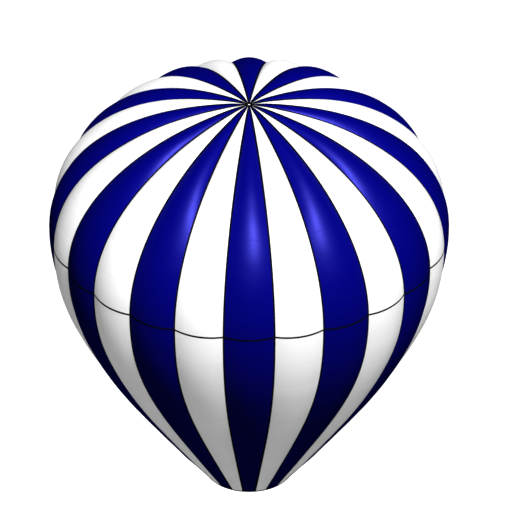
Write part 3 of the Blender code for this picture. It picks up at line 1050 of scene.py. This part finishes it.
@dataclass
class RoundBand:
    """A band of webbing round the envelope, over the cloths and the tapes."""

    shape: EnvelopeShape
    finish: WebbingFinish
    name: str
    node: str
    width: float
    thickness: float = 0.003
    tape_width: float = 0.074
    tape_rise: float = 0.0036
    ramp: float = 0.020
    valley_fill: float = 0.0
    valley_reach: float = 0.016
    parts: int = 48

    def outline(self, levels: Levels, rise: float) -> np.ndarray:
        """The band's foot at one station: the gores' arcs, lifted in steps over the tapes.

        Args:
            levels: A single station.
            rise: Height over the cloth, below zero on the cloth's inside, where no tape is crossed.

        Returns:
            Points round the envelope, as (gores * parts, 3).
        """
        shape = self.shape
        across = (np.arange(self.parts) + 0.5) / self.parts * 2 - 1
        across = np.sign(across) * (1 - (1 - np.abs(across)) ** 1.7)
        if rise >= 0.0:
            radius, _, edge = shape.arc(levels)
            distance = (radius * edge)[:, None] * (1 - np.abs(across))[None, :]
            half = self.tape_width / 2
            rise = rise + self.tape_rise * (1 - smooth_step(half, half + self.ramp, distance))
            rise = rise + self.valley_fill * (1 - smooth_step(0.0, self.valley_reach, distance))
        row = shape.gore_surface(levels, across, 0.0, rise)[0]
        rows = [turned(row, shape.gore_turn(gore)) for gore in range(shape.gore_count)]
        return np.concatenate(rows)

    def build(
        self, sections: list[tuple[Levels, float]], cuts: tuple[tuple[int, int, float], ...] = ()
    ) -> bpy.types.Object:
        """The band from its closed section, carried round the envelope.

        Args:
            sections: Station and rise of each corner of the section, in order.
            cuts: Corners to make level, each with the corner that it slides from and its height.

        Returns:
            The piece, which replaces its solid.
        """
        loop = np.stack([self.outline(levels, rise) for levels, rise in sections])
        for corner, neighbour, height in cuts:
            run_level(loop, corner, neighbour, height)
        rows, columns = loop.shape[:2]
        faces = grid_faces(rows, columns, closed=True, looped=True)
        heights = np.concatenate([[0.0], np.cumsum(np.linalg.norm(np.diff(loop[:, 0], axis=0), axis=1))])
        round_it = np.concatenate([[0.0], np.cumsum(np.linalg.norm(np.diff(loop[0], axis=0), axis=1))])
        place = np.stack(np.meshgrid(heights, round_it, indexing="ij"), axis=-1)
        middle = loop[:, :, 2].min() + np.ptp(loop[:, :, 2]) / 2
        surface = Surface()
        surface.add(loop.reshape(-1, 3), faces, place.reshape(-1, 2), np.abs(loop[:, :, 2] - middle).ravel())
        piece = surface.piece(self.name, self.finish)
        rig.replaces(piece, self.node)
        return piece


def one_level(shape: EnvelopeShape, half: Half, length: float) -> Levels:
    """The station of a seam at one length from the top of its half."""
    whole = shape.levels(half, 2).length[-1]
    return shape.levels(half, 1, length, whole - length)


def equator_belt(shape: EnvelopeShape, finish: WebbingFinish) -> bpy.types.Object:
    """The tape over the level seam: a flat section with rounded edges, half above the line."""
    band = RoundBand(shape, finish, "equator_belt_webbing", "equator_belt", 0.082, valley_fill=0.005)
    whole = shape.levels(Half.UPPER, 2).length[-1]
    half, soft, thick = band.width / 2, 0.0035, band.thickness
    corners = []
    for down, rise in (
        (-half, 0.0006), (-half, thick * 0.6), (-half + soft, thick), (0.0, thick * 1.1),
        (half - soft, thick), (half, thick * 0.6), (half, 0.0006),
    ):
        side = Half.UPPER if down < 0 else Half.LOWER
        corners.append((one_level(shape, side, whole + down if down < 0 else down), rise))
    return band.build(corners)


def mouth_hem(shape: EnvelopeShape, finish: WebbingFinish) -> bpy.types.Object:
    """The binding of the mouth: up the outside, under the rim and up the inside."""
    band = RoundBand(shape, finish, "mouth_hem_webbing", "mouth_hem", 0.110)
    whole = shape.levels(Half.LOWER, 2).length[-1]
    inner = -shape.shell
    corners = []
    for up, rise in (
        (0.110, 0.0006), (0.110, 0.0024), (0.106, 0.0034), (0.012, 0.0036), (0.001, 0.0036), (0.0, 0.0024),
        (0.0, inner - 0.0018), (0.001, inner - 0.0030), (0.012, inner - 0.0030), (0.036, inner - 0.0028),
        (0.038, inner - 0.0006),
    ):
        corners.append((one_level(shape, Half.LOWER, whole - up), rise))
    return band.build(corners, cuts=((4, 3, 0.0), (5, 3, -0.0018), (6, 8, -0.0018), (7, 8, 0.0)))


@dataclass
class CrownCap:
    """The white cloth gathered under the crown ring."""

    shape: EnvelopeShape
    finish: GoreFinish
    radius: float = 0.178
    pleats: int = 24
    pleat_height: float = 0.0012

    def build(self) -> bpy.types.Object:
        """A low dome with radial pleats, height = top - fall * r^2 + pleats * r * cos(n angle)."""
        low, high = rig.box("crown_cap")
        radii = np.linspace(0.0, self.radius, 20) ** 1.0
        radii[0] = 0.0006
        turns = np.linspace(0, 2 * pi, 8 * self.pleats, endpoint=False)
        share = (radii / self.radius)[:, None]
        pleats = self.pleat_height * share * np.cos(self.pleats * turns)[None, :]
        top = ring_grid(radii, turns, high.z - 0.0016 + 0.0004 * (1 - share**2) + pleats)
        foot = ring_grid(radii, turns, low.z + 0.0016 + pleats)
        loop = np.concatenate([top[::1], foot[::-1]])
        faces = grid_faces(len(loop), len(turns), closed=True)
        surface = Surface()
        place = loop[..., :2].reshape(-1, 2) + 5.0
        surface.add(loop.reshape(-1, 3), faces, place, np.full(loop[..., 0].size, 1.0))
        step = np.arange(len(turns))
        half = len(turns) // 2
        for start, flip in ((0, False), ((len(loop) - 1) * len(turns), True)):
            near = start + step[: half - 1]
            far = start + (len(turns) - 1 - step[: half - 1])
            quads = np.stack([near, near + 1, far - 1, far], axis=1)
            surface.faces.append(quads[:, ::-1] if flip else quads)
        piece = surface.piece("crown_cap_cloth", self.finish)
        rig.replaces(piece, "crown_cap")
        return piece


@dataclass
class CrownRing:
    """The ring that the tapes are gathered to, with a flat top for the crown line."""

    finish: RingFinish
    bore: float = 0.054
    corner: float = 0.0022
    corner_steps: int = 5
    steps: int = 96

    def build(self) -> bpy.types.Object:
        """A rounded rectangle, four quarter circles joined by straight sides, turned round Z."""
        low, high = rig.box("crown_ring")
        outer = high.x
        middles = (
            (outer - self.corner, high.z - self.corner, 0.0),
            (self.bore + self.corner, high.z - self.corner, pi / 2),
            (self.bore + self.corner, low.z + self.corner, pi),
            (outer - self.corner, low.z + self.corner, 3 * pi / 2),
        )
        sweep = np.linspace(0, pi / 2, self.corner_steps)
        radii = np.concatenate([r + self.corner * np.cos(start + sweep) for r, _, start in middles])
        heights = np.concatenate([z + self.corner * np.sin(start + sweep) for _, z, start in middles])
        turns = np.linspace(0, 2 * pi, self.steps, endpoint=False)
        loop = ring_grid(radii, turns, heights[:, None] * np.ones((1, self.steps)))
        faces = grid_faces(len(loop), self.steps, closed=True, looped=True, flip=True)
        surface = Surface()
        surface.add(loop.reshape(-1, 3), faces, loop[..., :2].reshape(-1, 2), np.zeros(loop[..., 0].size))
        piece = surface.piece("crown_ring_turned", self.finish, sharp=radians(60))
        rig.replaces(piece, "crown_ring")
        return piece


@dataclass(frozen=True)
class Lamp:
    """A distant light: where it comes from, its strength and its apparent size."""

    name: str
    source: Vector
    strength: float
    angle: float
    glossy: bool = False
    through: bool = False
    white_only: bool = False


@dataclass
class Studio:
    """The camera, the lights, the pale floor far below and the white surround."""

    elevation: float = radians(35.264)
    view_width: float = 21.414
    aim: tuple[float, float, float] = (0.3694, 0.0, 10.592)
    distance: float = 90.0
    floor_height: float = -60.0
    floor_size: float = 1200.0
    key_elevation: float = radians(59.3)
    key_turn: float = radians(23.4)
    key_angle: float = radians(9.0)
    key_strength: float = 2.95
    through_share: float = 0.35
    wide: float = radians(178.0)
    fill_above: float = 0.17
    fill_below: float = 0.30
    white_key_strength: float = 2.4
    white_fill_above: float = 1.00
    white_fill_below: float = 1.25
    surround_strength: float = 0.02
    view_gamma: float = 0.85

    def camera(self) -> None:
        """A camera with no perspective, from the photograph's height over the front gore."""
        data = bpy.data.cameras.new("camera")
        data.type = "ORTHO"
        data.ortho_scale = self.view_width
        data.clip_end = 1000.0
        camera = bpy.data.objects.new("camera", data)
        back = Vector((0.0, -cos(self.elevation), sin(self.elevation)))
        camera.matrix_world = Matrix.Translation(Vector(self.aim) + back * self.distance) @ (
            back.to_track_quat("Z", "Y").to_matrix().to_4x4()
        )
        bpy.context.scene.collection.objects.link(camera)
        bpy.context.scene.camera = camera

    def sun(self, lamp: "Lamp", receivers: bpy.types.Collection, blockers: bpy.types.Collection) -> None:
        """A distant light.

        Args:
            lamp: What the light is like.
            receivers: The white cloth, which takes the lamps that are for it alone.
            blockers: What stops the light that comes through the cloth.
        """
        data = bpy.data.lights.new(lamp.name, "SUN")
        data.energy = lamp.strength
        data.angle = lamp.angle
        light = bpy.data.objects.new(lamp.name, data)
        light.matrix_world = lamp.source.to_track_quat("Z", "Y").to_matrix().to_4x4()
        light.visible_glossy = lamp.glossy
        bpy.context.scene.collection.objects.link(light)
        if lamp.white_only:
            light.light_linking.receiver_collection = receivers
        if lamp.through:
            light.light_linking.blocker_collection = blockers

    def lights(self, white_pieces: list[bpy.types.Object], floor: bpy.types.Object) -> None:
        """A soft key light, some of which comes through the thin cloth, and an even fill.

        The white cloth takes more of both than the blue, as it passes more light on.
        """
        level = cos(self.key_elevation)
        key = Vector((level * sin(self.key_turn), -level * cos(self.key_turn), sin(self.key_elevation)))
        up = Vector((0.0, 0.0, 1.0))
        receivers = bpy.data.collections.new("white_cloth")
        for piece in white_pieces:
            receivers.objects.link(piece)
        blockers = bpy.data.collections.new("blockers_of_light_through_cloth")
        blockers.objects.link(floor)
        share = self.through_share
        for lamp in (
            Lamp("key", key, self.key_strength * (1 - share), self.key_angle, glossy=True),
            Lamp("key_through", key, self.key_strength * share, self.key_angle, glossy=True, through=True),
            Lamp("white_key", key, self.white_key_strength * (1 - share), self.key_angle, white_only=True),
            Lamp("fill_above", up, self.fill_above, self.wide, through=True),
            Lamp("fill_below", -up, self.fill_below, self.wide, through=True),
            Lamp("white_above", up, self.white_fill_above, self.wide, through=True, white_only=True),
            Lamp("white_below", -up, self.white_fill_below, self.wide, through=True, white_only=True),
        ):
            self.sun(lamp, receivers, blockers)

    def surround(self) -> None:
        """A white surround for the camera, which lights the envelope only faintly."""
        world = bpy.data.worlds.new("surround")
        world.use_nodes = True
        kit = NodeKit(world.node_tree)
        background = world.node_tree.nodes["Background"]
        seen = kit.node("ShaderNodeLightPath").outputs["Is Camera Ray"]
        kit.feed(background.inputs["Strength"], kit.math("MULTIPLY_ADD", seen, 1.05, self.surround_strength))
        kit.feed(background.inputs["Color"], (1.0, 1.0, 1.0, 1.0))
        world.cycles_visibility.glossy = False
        bpy.context.scene.world = world

    def floor(self) -> bpy.types.Object:
        """A plain white floor, far enough below that the envelope hangs clear of it."""
        size = self.floor_size / 2
        corners = np.array([(-size, -size), (size, -size), (size, size), (-size, size)])
        points = np.column_stack([corners, np.full(4, self.floor_height)])
        mesh = bpy.data.meshes.new("floor")
        mesh.from_pydata(points.tolist(), [], [(0, 1, 2, 3)])
        made = bpy.data.materials.new("floor_paint")
        made.use_nodes = True
        shader = made.node_tree.nodes["Principled BSDF"]
        shader.inputs["Base Color"].default_value = (0.85, 0.85, 0.85, 1.0)
        shader.inputs["Roughness"].default_value = 0.9
        shader.inputs["Specular IOR Level"].default_value = 0.0
        shader.inputs["Emission Color"].default_value = (1.0, 1.0, 1.0, 1.0)
        shader.inputs["Emission Strength"].default_value = 0.5
        mesh.materials.append(made)
        floor = bpy.data.objects.new("floor", mesh)
        floor.visible_diffuse = False
        floor.visible_glossy = False
        floor.visible_shadow = False
        bpy.context.scene.collection.objects.link(floor)
        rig.stage(floor)
        return floor

    def build(self, white_pieces: list[bpy.types.Object]) -> None:
        """Sets the whole studio up, with colours shown as they are."""
        self.camera()
        self.surround()
        self.lights(white_pieces, self.floor())
        bpy.context.scene.view_settings.view_transform = "Standard"
        bpy.context.scene.view_settings.look = "None"
        bpy.context.scene.view_settings.gamma = self.view_gamma


def write_sizes() -> None:
    """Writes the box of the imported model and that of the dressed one."""
    low, high = (list(corner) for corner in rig.bounds())
    with open(SIZE_FILE, "w") as out:
        json.dump({"cad": [CAD_LOW, CAD_HIGH], "visual": [low, high]}, out)


def main() -> None:
    """Builds each sub-assembly in order and reports it."""
    logging.basicConfig(level=logging.INFO, format="%(name)s %(message)s")
    effects = Effects()
    shape = EnvelopeShape()
    blue = GoreFinish(
        "blue_fabric", (0.0008, 0.0008, 0.36), 0.405, specular=1.0, gloss_tint=(0.20, 0.20, 1.0), effects=effects
    )
    white = GoreFinish("white_fabric", (0.90, 0.90, 0.90), 0.45, specular=0.12, tone_amount=0.04, effects=effects)
    webbing = WebbingFinish("black_webbing", (0.0045, 0.0045, 0.005), 0.80, specular=0.15, effects=effects)
    metal = RingFinish("dark_aluminium", (0.055, 0.055, 0.060), 0.38, metallic=0.7, effects=effects)
    LoadTapes(shape, webbing).build()
    white_pieces = []
    for number in range(shape.gore_count):
        gore = Gore(shape, number, white if number % 2 else blue)
        for half in Half:
            piece = gore.panel(half)
            if gore.finish is white:
                white_pieces.append(piece)
    equator_belt(shape, webbing)
    mouth_hem(shape, webbing)
    white_pieces.append(CrownCap(shape, white).build())
    CrownRing(metal).build()
    Studio().build(white_pieces)
    write_sizes()


if __name__ == "__main__":
    main()
